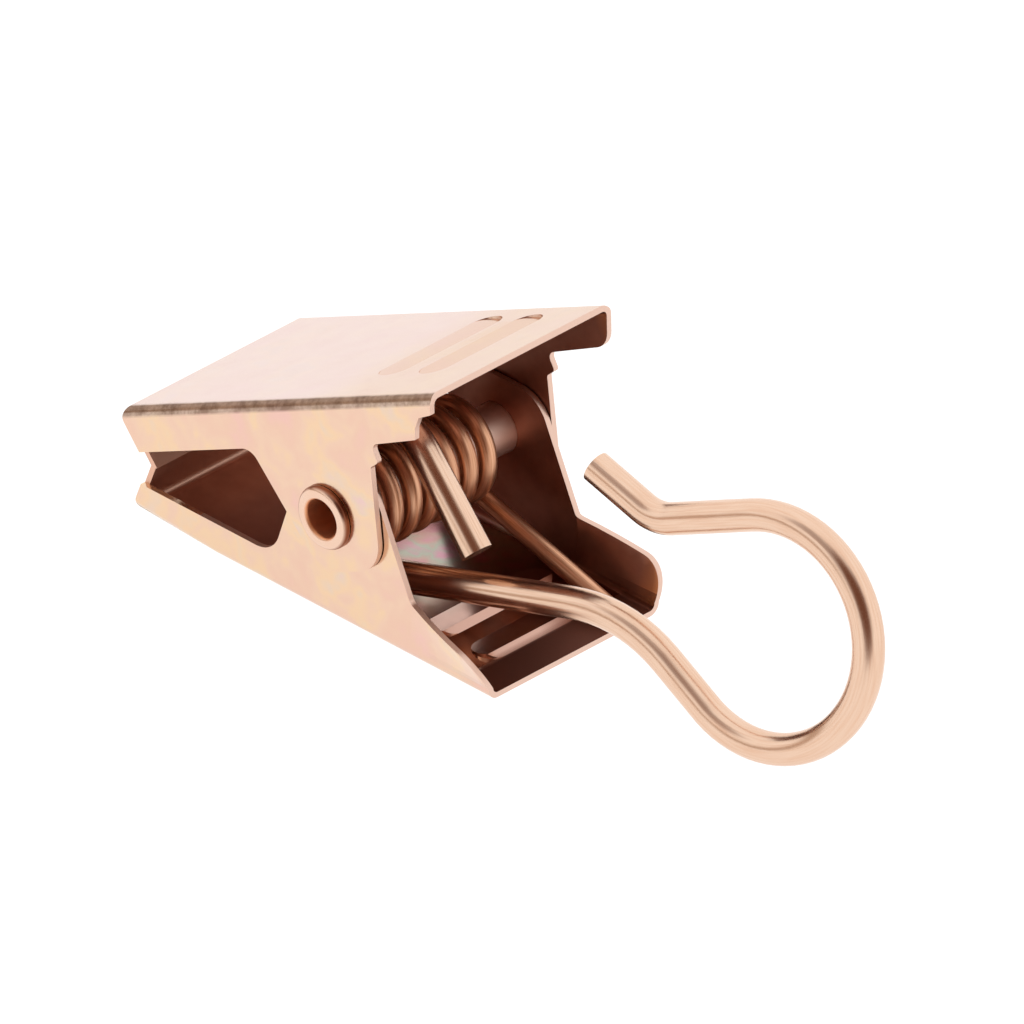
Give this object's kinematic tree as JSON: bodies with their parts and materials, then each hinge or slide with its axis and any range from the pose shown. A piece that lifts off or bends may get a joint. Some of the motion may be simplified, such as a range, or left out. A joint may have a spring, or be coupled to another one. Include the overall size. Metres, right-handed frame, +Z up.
{
  "type": "curtain clip",
  "caption": "Spring curtain clip: folded sheet jaws on a hollow rivet with a torsion spring, and an open wire hook for a curtain ring or rail glider.",
  "frame": {"origin": "on the lower jaw's outer floor, straight under the rivet's axis and at half the jaws' width", "axes": "+X from the jaws' mouth towards the hook, +Y along the rivet, +Z up from the floor the clip lies on"},
  "size_m": [0.0431, 0.013, 0.0156],
  "materials": {
    "jaw_sheet": "bright copper plating on steel sheet, slightly iridescent",
    "rivet": "bright copper plating",
    "spring_wire": "drawn wire, copper plated, a little tarnished",
    "hook_wire": "drawn wire, copper plated, draw lines along it"
  },
  "bodies": {
    "lower_jaw": {"lower_jaw": "jaw_sheet", "pivot_rivet": "rivet", "torsion_spring": "spring_wire"},
    "upper_jaw": {"upper_jaw": "jaw_sheet"},
    "hook": {"hook": "hook_wire"}
  },
  "joints": [
    {"name": "jaw_hinge", "type": "hinge", "parent": "lower_jaw", "child": "upper_jaw", "pos_m": [0, 0, 0.0059], "axis": [0, 1, 0], "range_deg": [0, 20], "stiffness_Nm_per_rad": 0.05, "springref_deg": -45.84, "deforming": ["torsion_spring"]},
    {"name": "hook_swing", "type": "hinge", "parent": "lower_jaw", "child": "hook", "pos_m": [0, 0, 0.0059], "axis": [0, 1, 0], "range_deg": [-25, 10]}
  ]
}
